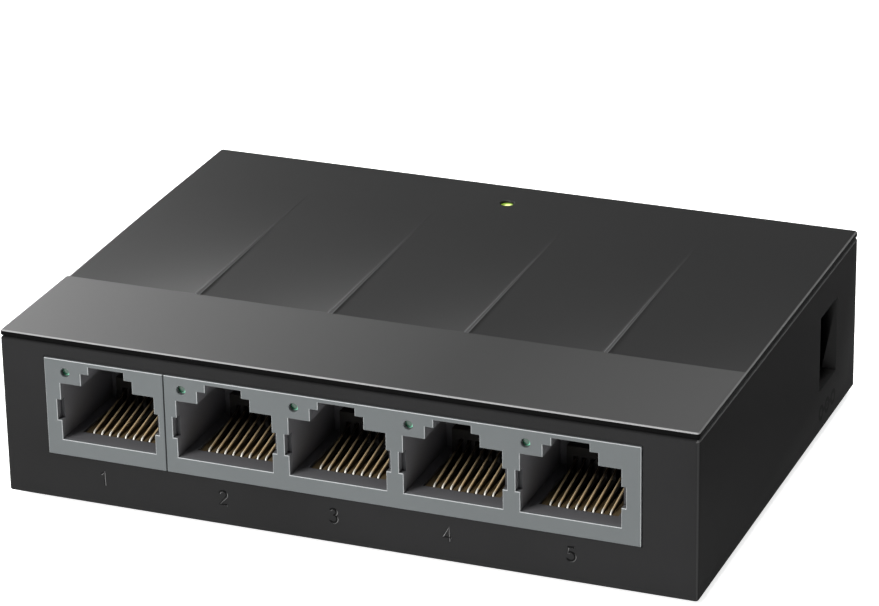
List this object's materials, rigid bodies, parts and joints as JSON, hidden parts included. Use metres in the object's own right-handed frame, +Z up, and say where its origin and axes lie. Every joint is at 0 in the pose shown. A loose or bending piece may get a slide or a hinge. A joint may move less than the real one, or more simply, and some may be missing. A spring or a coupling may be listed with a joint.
{
  "type": "desktop network switch",
  "caption": "Small flat network switch: charcoal case with a faceted lid, a row of grey modular sockets with sprung contacts, status light pipes and a side power inlet.",
  "frame": {"origin": "centre of the footprint, on the surface that the feet stand on", "axes": "+X to the right seen from the socket side, +Y to the rear, +Z up; the sockets face -Y"},
  "size_m": [0.085, 0.0622, 0.0215],
  "materials": {
    "case": "matte, fine grain",
    "rubber": "matte",
    "jack": "matte",
    "carrier": "matte",
    "contact": "gold flash over bronze",
    "steel": "zinc plated",
    "board": "solder mask",
    "epoxy": "moulded epoxy",
    "tinned": "tinned",
    "can": "satin",
    "ceramic": "ceramic",
    "light_pipe": "clear, green tint",
    "lamp": "clear moulding",
    "label": "blank foil label"
  },
  "bodies": {
    "body": {"base_shell": "case", "top_cover": "case", "case_screws": "steel", "foot_front_left": "rubber", "foot_front_right": "rubber", "foot_rear_left": "rubber", "foot_rear_right": "rubber", "rating_label": "label", "port_1_jack_housing": "jack", "ports_2_to_5_jack_housing": "jack", "circuit_board": "board", "board_screws": "steel", "switch_chip": "epoxy", "switch_chip_leads": "tinned", "port_1_transformer": "epoxy", "ports_2_to_5_transformer": "epoxy", "transformer_leads": "tinned", "crystal": "can", "bulk_capacitors": "can", "power_inductor": "epoxy", "regulator_chip": "epoxy", "chip_resistors": "epoxy", "chip_capacitors": "ceramic", "port_leds": "lamp", "power_led": "lamp", "power_light_pipe": "light_pipe", "dc_jack_body": "epoxy", "dc_jack_centre_pin": "contact", "dc_jack_sleeve_contact": "contact", "port_1_contact_carrier": "carrier", "port_1_contact_leads": "contact", "port_1_light_pipe": "light_pipe", "port_2_contact_carrier": "carrier", "port_2_contact_leads": "contact", "port_2_light_pipe": "light_pipe", "port_3_contact_carrier": "carrier", "port_3_contact_leads": "contact", "port_3_light_pipe": "light_pipe", "port_4_contact_carrier": "carrier", "port_4_contact_leads": "contact", "port_4_light_pipe": "light_pipe", "port_5_contact_carrier": "carrier", "port_5_contact_leads": "contact", "port_5_light_pipe": "light_pipe"},
    "port_1_spring_contacts": {"port_1_contact_arms": "contact"},
    "port_2_spring_contacts": {"port_2_contact_arms": "contact"},
    "port_3_spring_contacts": {"port_3_contact_arms": "contact"},
    "port_4_spring_contacts": {"port_4_contact_arms": "contact"},
    "port_5_spring_contacts": {"port_5_contact_arms": "contact"}
  },
  "joints": [
    {"name": "port_1_contact_press", "type": "hinge", "parent": "body", "child": "port_1_spring_contacts", "pos_m": [-0.02896, -0.0275, 0.00825], "axis": [1, 0, 0], "range_deg": [-7, 0], "stiffness_Nm_per_rad": 0.5},
    {"name": "port_2_contact_press", "type": "hinge", "parent": "body", "child": "port_2_spring_contacts", "pos_m": [-0.01422, -0.0275, 0.00825], "axis": [1, 0, 0], "range_deg": [-7, 0], "stiffness_Nm_per_rad": 0.5},
    {"name": "port_3_contact_press", "type": "hinge", "parent": "body", "child": "port_3_spring_contacts", "pos_m": [-0.00025, -0.0275, 0.00825], "axis": [1, 0, 0], "range_deg": [-7, 0], "stiffness_Nm_per_rad": 0.5},
    {"name": "port_4_contact_press", "type": "hinge", "parent": "body", "child": "port_4_spring_contacts", "pos_m": [0.01372, -0.0275, 0.00825], "axis": [1, 0, 0], "range_deg": [-7, 0], "stiffness_Nm_per_rad": 0.5},
    {"name": "port_5_contact_press", "type": "hinge", "parent": "body", "child": "port_5_spring_contacts", "pos_m": [0.02769, -0.0275, 0.00825], "axis": [1, 0, 0], "range_deg": [-7, 0], "stiffness_Nm_per_rad": 0.5}
  ]
}
